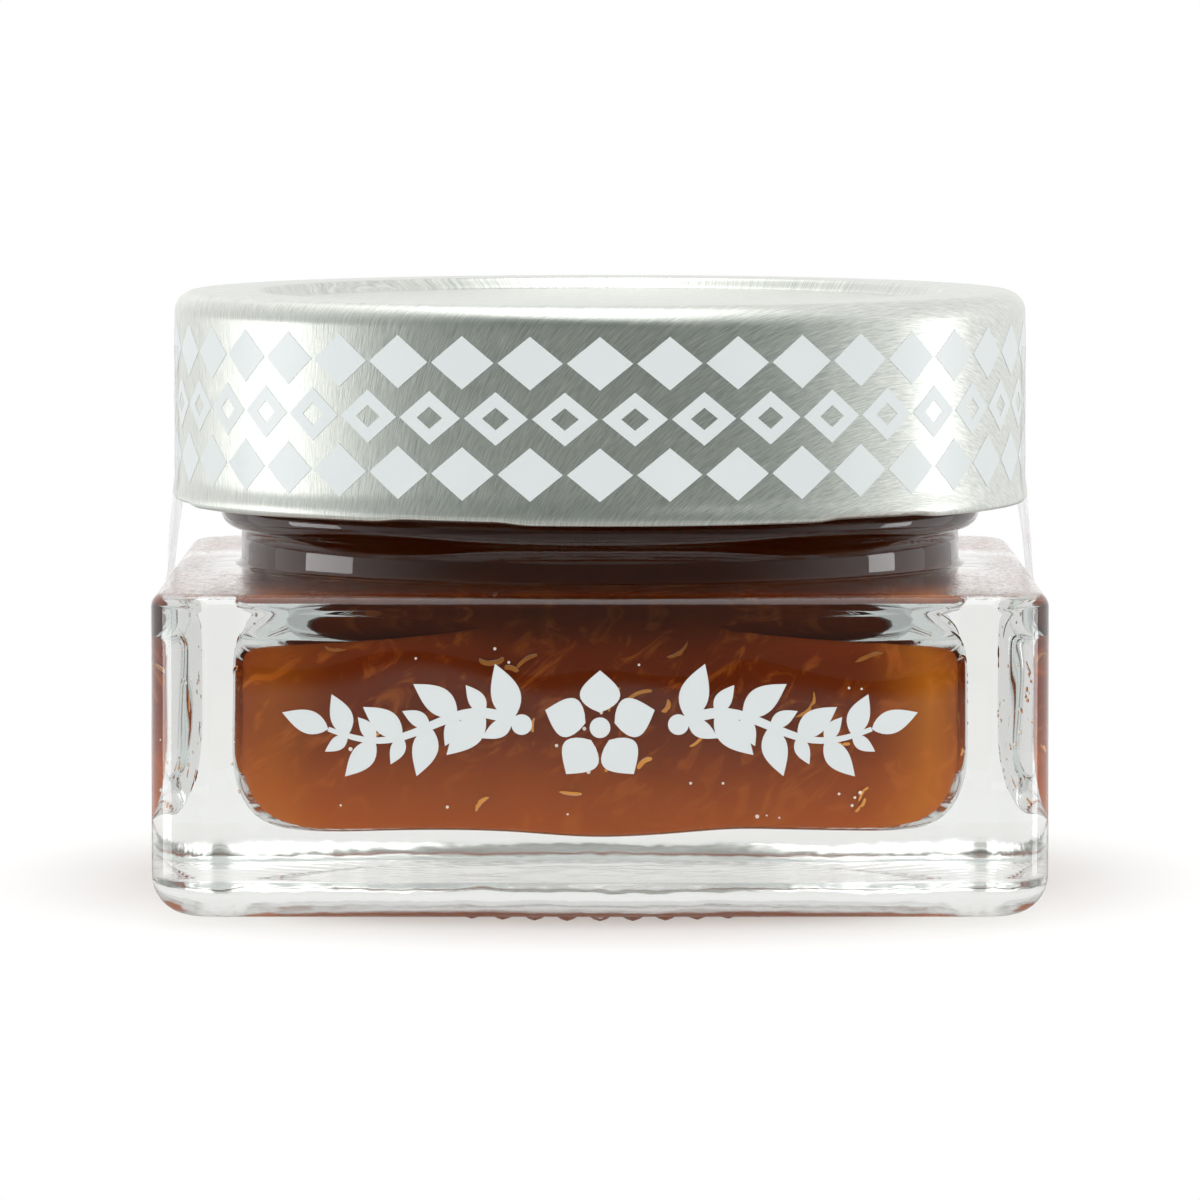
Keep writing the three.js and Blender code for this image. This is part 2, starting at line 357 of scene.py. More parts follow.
def neck_rings():
    """Rings of the neck, its bead and the finish, over the rim and down to the foot of the bore."""
    foot = NECK_RADIUS + NECK_TAPER
    middle = mix(NECK_ROOT + NECK_FILLET, BEAD_LOW, 0.5)
    rings = []
    for sine, cosine in quarter_arc(ARC):
        rings.append(circle(foot + NECK_FILLET * (1 - sine), NECK_ROOT + NECK_FILLET * (1 - cosine)))
    rings.append(circle(NECK_RADIUS + NECK_TAPER / 2, middle))
    for sine, cosine in quarter_arc(ARC):
        rings.append(circle(mix(NECK_RADIUS, BEAD_RADIUS, sine), mix(BEAD_LOW, BEAD_MIDDLE, 1 - cosine)))
    for sine, cosine in quarter_arc(ARC)[1:]:
        rings.append(circle(mix(FINISH_RADIUS, BEAD_RADIUS, cosine), mix(BEAD_MIDDLE, BEAD_HIGH, sine)))
    ends = (BEAD_HIGH + FINISH_MARGIN, RIM_TOP - RIM_ROUND - FINISH_MARGIN)
    rings += [circle(FINISH_RADIUS, z) for z in ends]
    for sine, cosine in quarter_arc(RIM_ARC):
        rings.append(circle(FINISH_RADIUS - RIM_ROUND * (1 - cosine), RIM_TOP - RIM_ROUND * (1 - sine)))
    for sine, cosine in quarter_arc(RIM_ARC):
        rings.append(circle(BORE_RADIUS + RIM_ROUND * (1 - sine), RIM_TOP - RIM_ROUND * (1 - cosine)))
    return rings + [circle(BORE_RADIUS, BORE_FOOT)]


def glass_rings():
    return bearing_ring() + body_rings() + neck_rings() + cavity_rings(0)[::-1]


def jam_rings():
    """Rings of the marmalade: the cavity's, pressed a little into the glass, then the bore's to the top."""
    levels = (BORE_FOOT, *JAM_LEVELS, FILL_LEVEL - JAM_RIM_UP)
    side = [circle(BORE_RADIUS + JAM_INTO_GLASS, z) for z in levels]
    top = [circle(BORE_RADIUS - JAM_RIM_OUT, FILL_LEVEL), circle(JAM_DISH_RADIUS, FILL_LEVEL - JAM_DISH)]
    return cavity_rings(-JAM_INTO_GLASS) + side + top


# Nodes

class Nodes:
    """A node tree, with short calls to add and join nodes."""

    def __init__(self, owner):
        owner.use_nodes = True
        self.tree = owner.node_tree

    def add(self, kind, inputs=None, **settings):
        node = self.tree.nodes.new("ShaderNode" + kind)
        for key, value in settings.items():
            setattr(node, key, value)
        for key, value in (inputs or {}).items():
            self.set(node.inputs[key], value)
        return node

    def set(self, socket, value):
        if isinstance(value, bpy.types.NodeSocket):
            self.tree.links.new(value, socket)
        else:
            socket.default_value = value

    def math(self, operation, a, b=0.0, clamped=False):
        return self.add("Math", {0: a, 1: b}, operation=operation, use_clamp=clamped).outputs[0]

    def plus(self, a, b):
        return self.math("ADD", a, b)

    def times(self, a, b):
        return self.math("MULTIPLY", a, b)

    def vector(self, operation, a, b=(0, 0, 0)):
        node = self.add("VectorMath", {0: a, 1: b}, operation=operation)
        return node.outputs["Value" if operation in ("DOT_PRODUCT", "LENGTH") else "Vector"]

    def scale(self, vector, factor):
        node = self.add("VectorMath", {0: vector, "Scale": factor}, operation="SCALE")
        return node.outputs["Vector"]

    def point(self, x, y, z):
        return self.add("CombineXYZ", {0: x, 1: y, 2: z}).outputs[0]

    def split(self, vector):
        return self.add("SeparateXYZ", {0: vector}).outputs[:]

    def span(self, value, low, high, to_low=0.0, to_high=1.0, smooth=True):
        node = self.add(
            "MapRange", {0: value, 1: low, 2: high, 3: to_low, 4: to_high},
            interpolation_type="SMOOTHSTEP" if smooth else "LINEAR",
        )
        return node.outputs[0]

    def fade(self, length, start, end):
        """0 to 1 as a length goes from one number of millimetres to another."""
        return self.span(length, start * MM, end * MM)

    def noise(self, vector, scale, detail=2.0, roughness=0.5, distortion=0.0):
        settings = {"Scale": scale, "Detail": detail, "Roughness": roughness, "Distortion": distortion}
        return self.add("TexNoise", {"Vector": vector, **settings}).outputs[0]

    def blend(self, factor, a, b):
        return self.add("Mix", {0: factor, 2: a, 3: b}).outputs[0]

    def mix_colour(self, factor, a, b):
        node = self.add("Mix", {0: factor}, data_type="RGBA")
        self.set(node.inputs[6], a)
        self.set(node.inputs[7], b)
        return node.outputs[2]

    def mix_shader(self, factor, first, second):
        return self.add("MixShader", {0: factor, 1: first, 2: second}).outputs[0]


class Looks(Nodes):
    """A new material's nodes."""

    def __init__(self, name):
        self.material = bpy.data.materials.new(name)
        super().__init__(self.material)
        self.shader = self.tree.nodes["Principled BSDF"]

    def principled(self, **values):
        for key, value in values.items():
            self.set(self.shader.inputs[key.replace("_", " ")], value)

    def surface(self, shader):
        self.set(self.tree.nodes["Material Output"].inputs["Surface"], shader)

    def place(self):
        return self.add("TexCoord").outputs["Object"]

    def bump(self, height, strength, distance):
        return self.add("Bump", {"Height": height, "Strength": strength, "Distance": distance}).outputs[0]


# Materials. A pair named UP, DOWN or OUT holds the millimetres between which a look sets in.

WHITE = (1, 1, 1, 1)
GLASS_IOR = 1.52
GLASS_COLOUR = (0.92, 0.929, 0.910, 1)
STRAIGHT_THROUGH = (0.96, 0.97, 0.96, 1)
TURNS_IN_GLASS = 4  # light that turns more often than this inside the glass ends on a painted near-white glow
# painted glow that stands in for light on long paths inside the glass
PAINTED_GLOW_COLOUR = (0.94, 1.0, 0.98, 1)
PAINTED_GLOW_STRENGTH = 0.78
DIMPLED_DOWN = (3.8, 1.2)
DIMPLE_ROUGHNESS = 0.20
DIMPLE_RELIEF = 0.50
SATIN_OUT = (31.8, 34.5)
SATIN_UP = (26.8, 27.3)
SATIN_DOWN = (28.5, 28.0)
SATIN_ROUGHNESS = 0.24
SATIN_RELIEF = 0.035
SATIN_GRAINS = (0.50, 0.62)  # the noise between which a satin grain sets in
JAM_TO_GLASS = 1.42 / GLASS_IOR  # refractive index of marmalade over that of glass
GRAZING_POWER = 1.6  # how fast the mirror fades away from a grazing angle


def against_glass(n):
    """Mirrors at a grazing angle, as what touches the glass does, because it bends light less than glass."""
    mirror = n.add("BsdfGlossy", {"Roughness": 0.02}).outputs[0]
    grazing = n.math("POWER", n.add("Fresnel", {"IOR": JAM_TO_GLASS}).outputs[0], GRAZING_POWER)
    n.surface(n.mix_shader(grazing, n.shader.outputs[0], mirror))


def glass_material():
    """Clear glass, satin on the shoulder and dimpled below, with a painted near-white glow for light caught
    inside. Light reaches the inside straight through it.
    """
    n = Looks("clear_glass")
    place = n.place()
    x, y, z = n.split(place)
    reach = n.vector("LENGTH", n.point(x, y, 0.0))
    below = n.fade(z, *DIMPLED_DOWN)
    level = n.times(n.fade(z, *SATIN_UP), n.fade(z, *SATIN_DOWN))
    shoulder = n.times(level, n.fade(reach, *SATIN_OUT))
    grains = n.noise(place, scale=2600, detail=1, roughness=0.7)
    satin = n.times(n.span(grains, *SATIN_GRAINS), n.times(shoulder, SATIN_ROUGHNESS))
    dimples = n.times(n.noise(place, scale=110, detail=3, roughness=0.65), n.times(below, DIMPLE_RELIEF))
    speckle = n.times(grains, n.times(shoulder, SATIN_RELIEF))
    n.principled(
        Base_Color=GLASS_COLOUR, IOR=GLASS_IOR, Transmission_Weight=1.0,
        Roughness=n.plus(n.times(below, DIMPLE_ROUGHNESS), satin),
        Normal=n.bump(n.plus(dimples, speckle), strength=0.7, distance=0.0014),
    )
    paths = n.add("LightPath").outputs
    clear = n.add("BsdfTransparent", {"Color": STRAIGHT_THROUGH}).outputs[0]
    lit = n.mix_shader(paths["Is Shadow Ray"], n.shader.outputs[0], clear)
    lit = n.mix_shader(paths["Is Diffuse Ray"], lit, clear)
    # painted glow: paths that turn inside the glass more than TURNS_IN_GLASS times end on near-white light
    caught = n.math("GREATER_THAN", paths["Ray Depth"], TURNS_IN_GLASS)
    painted_glow = n.add("Emission", {"Color": PAINTED_GLOW_COLOUR, "Strength": PAINTED_GLOW_STRENGTH}).outputs[0]
    n.surface(n.mix_shader(caught, lit, painted_glow))
    n.material.cycles.emission_sampling = "NONE"
    return n.material


JAM_LOWER = (0.37, 0.085, 0.012, 1)
# painted shade: the marmalade's colour darkens upwards, where less light reaches it
JAM_UPPER_SHADED = (0.15, 0.023, 0.0032, 1)
# painted light: amber-yellow glow of light through the marmalade's thin edges
JAM_LIT_GOLD = (0.54, 0.180, 0.012, 1)
JAM_PULP = (0.47, 0.132, 0.018, 1)
# painted shadow of the lid on the marmalade in the neck
JAM_LID_SHADOW = (0.034, 0.0050, 0.0010, 1)
UPPER_SHADE_UP = (9.8, 20.5)
LID_SHADOW_UP = (21.5, 32.0)
# painted light at the edges, stronger to the right than to the left
LIT_GOLD_OUT = (24, 35)
LIT_GOLD_HALF = 30
LIT_GOLD_LEFT = 0.32
LIT_GOLD_RIGHT = 0.85
PULP_SHARE = 0.45
CLOUD_OUT = 6  # how far the cloud shifts the edge of the painted amber light
CLOUD_UP = 5  # how far it shifts the levels of the painted shade
PULP_LEAN = 2.2
PULP_THREADS = (0.50, 0.70)  # the noise between which a thread of pulp sets in


def jam_material():
    """Marmalade: red-brown in the mass and cloudy with fine pulp; painted light makes it amber-yellow at the
    thin edges, and painted shade darkens it upwards and under the lid.
    """
    n = Looks("marmalade")
    place = n.place()
    x, y, z = n.split(place)
    cloud = n.noise(place, scale=60, detail=4, roughness=0.6, distortion=0.6)
    height = n.plus(z, n.times(cloud, CLOUD_UP * MM))
    side = n.math("MINIMUM", n.math("ABSOLUTE", x), n.math("ABSOLUTE", y))
    near_edge = n.fade(n.plus(side, n.times(cloud, CLOUD_OUT * MM)), *LIT_GOLD_OUT)
    # painted light through the thin edges, stronger to the right
    lit_gold_share = n.times(near_edge, n.span(x, -LIT_GOLD_HALF * MM, LIT_GOLD_HALF * MM, LIT_GOLD_LEFT, LIT_GOLD_RIGHT))
    leaning = n.point(n.plus(x, z), n.plus(y, z), n.times(n.math("SUBTRACT", z, x), PULP_LEAN))
    pulp = n.noise(leaning, scale=130, detail=4, roughness=0.62, distortion=1.4)
    # painted shade, darker upwards
    body = n.mix_colour(n.fade(height, *UPPER_SHADE_UP), JAM_LOWER, JAM_UPPER_SHADED)
    lit_gold_colour = n.mix_colour(lit_gold_share, body, JAM_LIT_GOLD)
    clouded = n.mix_colour(n.times(n.span(pulp, *PULP_THREADS), PULP_SHARE), lit_gold_colour, JAM_PULP)
    # painted shadow of the lid over the top of the marmalade
    n.principled(
        Base_Color=n.mix_colour(n.fade(height, *LID_SHADOW_UP), clouded, JAM_LID_SHADOW),
        Roughness=0.35, IOR=1.45, Specular_IOR_Level=0.0, Subsurface_Weight=1.0,
        Subsurface_Radius=(1.0, 0.45, 0.12), Subsurface_Scale=0.005,
    )
    against_glass(n)
    return n.material


PEEL_DEEP = (0.60, 0.21, 0.030, 1)
PEEL_PALE = (0.78, 0.36, 0.08, 1)
# painted shade: the peel darkens towards the lid, where less light reaches it
PEEL_LID_SHADOW = (0.12, 0.028, 0.007, 1)
PEEL_SHADE_UP = (14, 26)
# painted reflection: these pale colours stand in for the light that air bubbles reflect
BUBBLE_REFLECTION_MIDDLE = (0.88, 0.76, 0.64, 1)
BUBBLE_REFLECTION_EDGE = (0.97, 0.95, 0.92, 1)


def peel_material():
    """Orange peel, with painted shade darkening it towards the lid."""
    n = Looks("orange_peel")
    place = n.place()
    z = n.split(place)[2]
    colour = n.mix_colour(n.noise(place, scale=400, detail=3), PEEL_DEEP, PEEL_PALE)
    # painted shade towards the lid
    dark = n.mix_colour(n.fade(z, *PEEL_SHADE_UP), colour, PEEL_LID_SHADOW)
    n.principled(Base_Color=dark, Roughness=0.4, Specular_IOR_Level=0.0)
    against_glass(n)
    return n.material


def bubble_material():
    """Air in the marmalade, painted pale as the light it reflects, paler still towards a bubble's edge."""
    n = Looks("air_bubble")
    edge = n.add("LayerWeight", {"Blend": 0.35}).outputs["Facing"]
    # painted reflection, paler towards the rim
    n.principled(Base_Color=n.mix_colour(edge, BUBBLE_REFLECTION_MIDDLE, BUBBLE_REFLECTION_EDGE), Roughness=0.08)
    against_glass(n)
    return n.material


BRUSH = Vector((1, 1, 0)).normalized()
ACROSS_BRUSH = Vector((-1, 1, 0)).normalized()
LID_DARK = (0.54, 0.558, 0.525, 1)
LID_LIGHT = (0.82, 0.840, 0.793, 1)
FINE_GRAIN = (1.7, 0.11)  # length and width of the streaks
BROAD_GRAIN = (6.0, 0.26)
FINE_TONE = 0.75  # share of the fine streaks in the lid's tone
BROAD_RELIEF = 0.5  # relief of the broad streaks over that of the fine ones
TONES = (0.36, 0.64)  # the noise that gives the dark colour and the light one
PATCH_SHARE = 0.3
PATCHED_TONES = (0.35, 0.95)
LID_ROUGHNESS = (0.30, 0.46)


def lid_material():
    """Tinplate brushed straight before it was drawn: the grain turns from upright to level round the side."""
    n = Looks("brushed_lid")
    place = n.place()
    x, y, z = n.split(place)
    flat = n.point(x, y, 0.0)
    outward = n.vector("NORMALIZE", flat)
    round_way = n.vector("CROSS_PRODUCT", (0, 0, 1), outward)
    down_sheet = n.vector("CROSS_PRODUCT", round_way, n.add("NewGeometry").outputs["Normal"])
    along_round = n.vector("DOT_PRODUCT", round_way, BRUSH)
    along_out = n.vector("DOT_PRODUCT", outward, BRUSH)
    stretch = n.vector("SUBTRACT", n.scale(round_way, along_out), n.scale(down_sheet, along_round))

    drop = n.math("MAXIMUM", n.math("SUBTRACT", LID_TOP * MM, z), 0.0)
    sheet = n.scale(outward, n.plus(n.vector("LENGTH", flat), drop))
    grain_along = n.vector("DOT_PRODUCT", sheet, BRUSH)
    grain_across = n.vector("DOT_PRODUCT", sheet, ACROSS_BRUSH)

    def grain(length, width):
        across = n.math("DIVIDE", grain_across, width * MM)
        spot = n.point(n.math("DIVIDE", grain_along, length * MM), across, 0.0)
        return n.noise(spot, scale=1, detail=2, roughness=0.65)

    fine, broad = grain(*FINE_GRAIN), grain(*BROAD_GRAIN)
    tone = n.plus(n.times(fine, FINE_TONE), n.times(broad, 1 - FINE_TONE))
    patched = n.plus(tone, n.times(n.noise(place, scale=45), PATCH_SHARE))
    height = n.plus(fine, n.times(broad, BROAD_RELIEF))
    n.principled(
        Base_Color=n.mix_colour(n.span(tone, *TONES, smooth=False), LID_DARK, LID_LIGHT),
        Roughness=n.span(patched, *PATCHED_TONES, *LID_ROUGHNESS, smooth=False), Metallic=1.0,
        Anisotropic=0.75, Coat_Weight=0.25, Coat_Roughness=0.12, Tangent=stretch,
        Normal=n.bump(height, strength=0.5, distance=0.00005),
    )
    return n.material


INK_GREY = (0.63, 0.675, 0.675, 1)
INK_PALE = (0.69, 0.72, 0.72, 1)
FILM_COLOUR = (0.86, 0.83, 0.83, 1)
FILM_CREASES = (0.3, 0.7)
FILM_ROUGHNESS = (0.08, 0.2)


def ink_material():
    """White printing ink, slightly uneven."""
    n = Looks("white_ink")
    place = n.place()
    n.principled(
        Base_Color=n.mix_colour(n.noise(place, scale=120), INK_GREY, INK_PALE), Roughness=0.32,
        Normal=n.bump(n.noise(place, scale=1800), strength=0.15, distance=0.00003),
    )
    return n.material


def film_material():
    """Clear film that shows by its creases."""
    n = Looks("clear_film")
    crease = n.noise(n.place(), scale=260)
    n.principled(
        Base_Color=FILM_COLOUR, Roughness=n.span(crease, *FILM_CREASES, *FILM_ROUGHNESS), Alpha=0.17,
        Specular_IOR_Level=0.6, Normal=n.bump(crease, strength=0.3, distance=0.0001),
    )
    return n.material


THROUGH_GLASS = 0.93  # how bright the white surroundings are behind glass
PAPER = (0.87, 0.87, 0.865, 1)
PAPER_PALE = (0.89, 0.89, 0.885, 1)
MIRRORED_NEAR = (0.38, 0.39, 0.375, 1)
MIRRORED_FAR = (0.03, 0.03, 0.03, 1)
MIRRORED_OUT = (252, 280)
WHITE_OUT = (50, 140)
BESIDE_OUT = (55, 85)
WHITE_BEHIND_GLASS = 0.9  # share of plain white in the floor seen through glass


def floor_material():
    """Matt near-white paper that melts into the white background.

    The jar mirrors it as dim, and beside the jar it mirrors the surroundings instead.
    """
    n = Looks("pale_floor")
    place = n.place()
    reach = n.vector("LENGTH", place)
    n.principled(
        Base_Color=n.mix_colour(n.noise(place, scale=14, detail=3), PAPER, PAPER_PALE), Roughness=0.8,
        Specular_IOR_Level=0.1,
    )
    paths = n.add("LightPath").outputs
    dimmed = n.times(paths["Is Transmission Ray"], 1 - THROUGH_GLASS)
    white = n.add("Emission", {"Color": WHITE, "Strength": n.math("SUBTRACT", 1.0, dimmed)}).outputs[0]
    lit = n.mix_shader(n.fade(reach, *WHITE_OUT), n.shader.outputs[0], white)
    seen = n.mix_shader(n.times(paths["Is Transmission Ray"], WHITE_BEHIND_GLASS), lit, white)
    tone = n.mix_colour(n.fade(reach, *MIRRORED_OUT), MIRRORED_NEAR, MIRRORED_FAR)
    dim = n.add("BsdfDiffuse", {"Color": tone}).outputs[0]
    beside = n.fade(n.math("ABSOLUTE", n.split(place)[0]), *BESIDE_OUT)
    in_mirror = n.mix_shader(beside, dim, n.add("BsdfTransparent").outputs[0])
    mirrored = n.math("SUBTRACT", paths["Is Reflection Ray"], paths["Is Diffuse Ray"], clamped=True)
    n.surface(n.mix_shader(mirrored, seen, in_mirror))
    return n.material


# Lid

UNDER_PANEL = (8, 18, 26)
ON_PANEL = (24, 16, 8)
PANEL_MARGIN = 0.4  # the panel's outermost ring lies this far in from its edge
PANEL_EASE = 0.1  # the step up from the panel starts this much further in
INSIDE_SHIFT = 0.2  # the same step on the inside lies this much further out
EDGE_MARGIN = 0.3
SIDE_MARGIN = 0.2
SIDE_RINGS = 8
CURL_RINGS = 17
CURL_TOP = LID_BOTTOM + 1.4 * CURL_RADIUS
SKIRT_END = LID_BOTTOM + 4 * CURL_RADIUS
SIDE_START = CURL_TOP + 2
FLARE_PROFILE = ((0.97, 0.1), (0.75, 0.4), (0.35, 0.8), (0.08, 1.2), (0, 1.6))  # share, height above the curl


def ease(t):
    return t * t * (3 - 2 * t)


def lug_share(angles):
    """1 in the middle of a lug, 0 between two lugs."""
    pitch = 360 / LUG_COUNT
    turn = np.abs((np.degrees(angles) - LUG_FIRST + pitch / 2) % pitch - pitch / 2)
    return 1 - ease(np.clip((turn - (LUG_SPAN / 2 - LUG_EASE)) / LUG_EASE, 0, 1))


def curl_ring(turn):
    """One ring of the rolled edge, at an angle from its outside, round below, to its inside."""
    def place(angles):
        inside = (1 - math.cos(turn)) / 2
        lug = lug_share(angles)
        middle = LID_RADIUS + CURL_FLARE - CURL_RADIUS
        reach = middle + CURL_RADIUS * math.cos(turn) - LUG_REACH * lug * inside ** 2
        return reach, LID_BOTTOM + CURL_RADIUS * (1 - math.sin(turn)) + LUG_LIFT * lug
    return place


def panel_step(shift, low, high, count):
    """Circles along an S from the panel up to the ring round it."""
    inner, outer = PANEL_RADIUS + shift[0], PANEL_RADIUS + PANEL_WALL + shift[1]
    return [circle(mix(inner, outer, t), mix(low, high, ease(t))) for t in np.linspace(0, 1, count + 1)]


def lid_corner(radius, count):
    return [
        circle(LID_RADIUS - LID_CORNER + radius * cosine, LID_TOP - LID_CORNER + radius * sine)
        for sine, cosine in quarter_arc(count)
    ]


def lid_rings():
    """Rings of the lid: its inside down to the rolled edge, then its outside up to the panel."""
    side_top = LID_TOP - LID_CORNER
    under = PANEL_TOP - LID_SHEET
    rings = [circle(radius, under) for radius in (*UNDER_PANEL, PANEL_RADIUS)]
    rings += panel_step((INSIDE_SHIFT, INSIDE_SHIFT), under, LID_TOP - LID_SHEET, count=8)
    rings += lid_corner(LID_CORNER - LID_SHEET, count=8)[::-1]
    rings += [circle(LID_RADIUS - LID_SHEET, z) for z in (side_top - EDGE_MARGIN, SKIRT_END, CURL_TOP)]
    rings += [curl_ring(turn) for turn in np.linspace(math.pi, 0, CURL_RINGS)]
    rings += [circle(LID_RADIUS + CURL_FLARE * share, CURL_TOP + up) for share, up in FLARE_PROFILE]
    rings += [circle(LID_RADIUS, z) for z in np.linspace(SIDE_START, side_top - SIDE_MARGIN, SIDE_RINGS)]
    rings += lid_corner(LID_CORNER, count=12)
    rings.append(circle(LID_RADIUS - LID_CORNER - EDGE_MARGIN, LID_TOP))
    rings += panel_step((-PANEL_EASE, 0), PANEL_TOP, LID_TOP, count=10)[::-1]
    return rings + [circle(radius, PANEL_TOP) for radius in (PANEL_RADIUS - PANEL_MARGIN, *ON_PANEL)]


# Print on the lid

PRINT_LOW = 34.95
PRINT_ROW = 4.55
PRINT_ROWS = 3
DIAMONDS_ROUND = 40
DIAMOND_GAP = 0.16
HOLE_SHARE = 0.42  # size of an open diamond's hole
LID_INK = 0.03
LID_INK_ROOT = 0.02  # how far the ink is sunk in the lid


def lid_print_cells():
    """Every diamond on the lid as columns: their angles, lower heights and upper heights."""
    pitch = math.tau / DIAMONDS_ROUND
    half_wide = pitch / 2 - DIAMOND_GAP / LID_RADIUS
    half_tall = PRINT_ROW / 2 - DIAMOND_GAP / 2
    columns = np.array([-1, -0.7, -HOLE_SHARE, -0.2, 0, 0.2, HOLE_SHARE, 0.7, 1])
    tall = half_tall * (1 - np.abs(columns))
    hole = np.maximum(0, half_tall * (HOLE_SHARE - np.abs(columns)))
    shapes = []
    for row in range(PRINT_ROWS):
        middle_z = PRINT_LOW + PRINT_ROW * (row + 0.5)
        for i in range(DIAMONDS_ROUND):
            angles = (i + 0.5 * (row % 2)) * pitch + columns * half_wide
            if row % 2:
                shapes.append((angles, middle_z + hole, middle_z + tall))
                shapes.append((angles, middle_z - tall, middle_z - hole))
            else:
                shapes.append((angles, middle_z - tall, middle_z + tall))
    return shapes


def lid_print():
    """Thin raised ink on the lid's side: closed slabs that follow its curve."""
    points, faces = [], []
    for angles, low, high in lid_print_cells():
        faces += slab_faces(len(points), 2, len(angles))
        for radius in (LID_RADIUS - LID_INK_ROOT, LID_RADIUS + LID_INK):
            for heights in (high, low):
                points += [(radius * math.cos(a), radius * math.sin(a), z) for a, z in zip(angles, heights)]
    return points, faces


# Print on the front face

ORNAMENT_Z = 16.6
PETALS = 5
PETAL_START = 1.25
PETAL_END = 4.7
PETAL_WIDTH = 3.3
DOT_RADIUS = 0.85
DOT_POINTS = 20
SPRIG_POINTS = 24
SPRIG_START = 6.4
SPRIG_LENGTH = 15.8
SPRIG_SWAY = 1.3
SPRIG_SWAY_LOSS = 0.25  # how much smaller the sway is at the tip
SPRIG_HALF_WAVES = 1.9
SPRIG_PHASE = 0.2
STEM_WIDTH = 0.95
STEM_TAPER = 0.4
LEAF_PLACES = np.linspace(0.05, 0.9, 7)
LEAF_LEAN = math.radians(52)
LONG_LEAF = (4.9, 3.5)  # at the sprig's start and at its tip
SHORT_LEAF = (2.9, 2.2)
LEAF_WIDTH = 0.50
LEAF_BEND = 0.10
LEAF_POINTS = 13  # along each of its edges
LEAF_FULLNESS = 0.8  # below 1, a leaf is widest nearer to its base
TIP_LENGTH = 4.0
TIP_WIDTH = 1.9
SLOPE_STEP = 0.02
INK_ROOT = 0.03  # how far the ink is sunk in the glass
INK_STEP = 0.0015  # shapes that overlap lie this much above one another
INK_STEPS = 22


def leaf(base, turn, length, width, bend=0.0):
    """Outline of a leaf from its base, at an angle, in the plane of the front face."""
    c, s = math.cos(turn), math.sin(turn)
    along = np.linspace(0, 1, LEAF_POINTS)
    outline = []
    for side, edge in [(1, along), (-1, along[-2:0:-1])]:
        for t in edge:
            half = width / 2 * math.sin(math.pi * t ** LEAF_FULLNESS)
            across = side * half + bend * length * t * (1 - t)
            outline.append((base[0] + t * length * c - across * s, base[1] + t * length * s + across * c))
    return outline


def dot(x, z):
    return [(x + DOT_RADIUS * math.cos(a), z + DOT_RADIUS * math.sin(a)) for a in even_angles(DOT_POINTS)]


def stem(route, width):
    """Outline of a line of that width through points, tapering to its end."""
    route = np.array(route)
    way = np.gradient(route, axis=0)
    way /= np.linalg.norm(way, axis=1)[:, None]
    half_widths = np.linspace(width, width * STEM_TAPER, len(route)) / 2
    across = np.stack([-way[:, 1], way[:, 0]], axis=1) * half_widths[:, None]
    return [tuple(p) for p in np.concatenate([route + across, (route - across)[::-1]])]


def blossom_shapes():
    """Five petals round a dot, as outlines in x and z."""
    shapes = []
    for i in range(PETALS):
        turn = math.pi / 2 + i * math.tau / PETALS
        start = (PETAL_START * math.cos(turn), PETAL_START * math.sin(turn))
        shapes.append(leaf(start, turn, PETAL_END - PETAL_START, PETAL_WIDTH))
    return shapes + [dot(0, 0)]


def sprig_shapes(side):
    """A wavy stem to one side with a dot, pairs of a long and a short leaf, and a leaf at its tip."""
    t = np.linspace(0, 1, SPRIG_POINTS)
    xs = SPRIG_START + t * SPRIG_LENGTH
    zs = SPRIG_SWAY * np.sin(t * math.pi * SPRIG_HALF_WAVES + SPRIG_PHASE) * (1 - SPRIG_SWAY_LOSS * t)
    shapes = [stem([(side * x, z) for x, z in zip(xs, zs)], STEM_WIDTH)]
    shapes.append(dot(side * xs[0], zs[0]))

    def turned(lean):
        return lean if side > 0 else math.pi - lean

    for i, share in enumerate(LEAF_PLACES):
        x = np.interp(share, t, xs)
        z = np.interp(share, t, zs)
        slope = math.atan2(np.interp(share + SLOPE_STEP, t, zs) - z, SLOPE_STEP * SPRIG_LENGTH)
        for up in (1, -1):
            size = mix(*(LONG_LEAF if (i + (up > 0)) % 2 else SHORT_LEAF), share)
            turn = turned(up * LEAF_LEAN + slope)
            shapes.append(leaf((side * x, z), turn, size, size * LEAF_WIDTH, LEAF_BEND * side * up))
    tip = turned(math.atan2(zs[-1] - zs[-2], xs[-1] - xs[-2]))
    return shapes + [leaf((side * xs[-1], zs[-1]), tip, TIP_LENGTH, TIP_WIDTH)]


def turning(outline):
    """Twice the area inside an outline, above 0 when it runs anticlockwise."""
    return sum(a[0] * b[1] - b[0] * a[1] for a, b in zip(outline, outline[1:] + outline[:1]))


def front_print():
    """A blossom between two leafy sprigs, as closed slabs of ink on the glass's front face."""
    points, faces = [], []
    for i, outline in enumerate(blossom_shapes() + sprig_shapes(-1) + sprig_shapes(1)):
        if turning(outline) < 0:
            outline = outline[::-1]
        start, count = len(points), len(outline)
        front = -GLASS_HIGH[1] + INK_STEP * (i % INK_STEPS)
        for y in (front, INK_ROOT - BODY_HALF):
            points += [(x, y, z + ORNAMENT_Z) for x, z in outline]
        for a, b, c in tessellate_polygon([[Vector((x, z, 0)) for x, z in outline]]):
            if turning([outline[k] for k in (a, b, c)]) < 0:
                b, c = c, b
            faces.append((start + a, start + b, start + c))
            faces.append((start + count + a, start + count + c, start + count + b))
        for j in range(count):
            k = (j + 1) % count
            faces.append((start + j, start + count + j, start + count + k, start + k))
    return points, faces


# Seal film

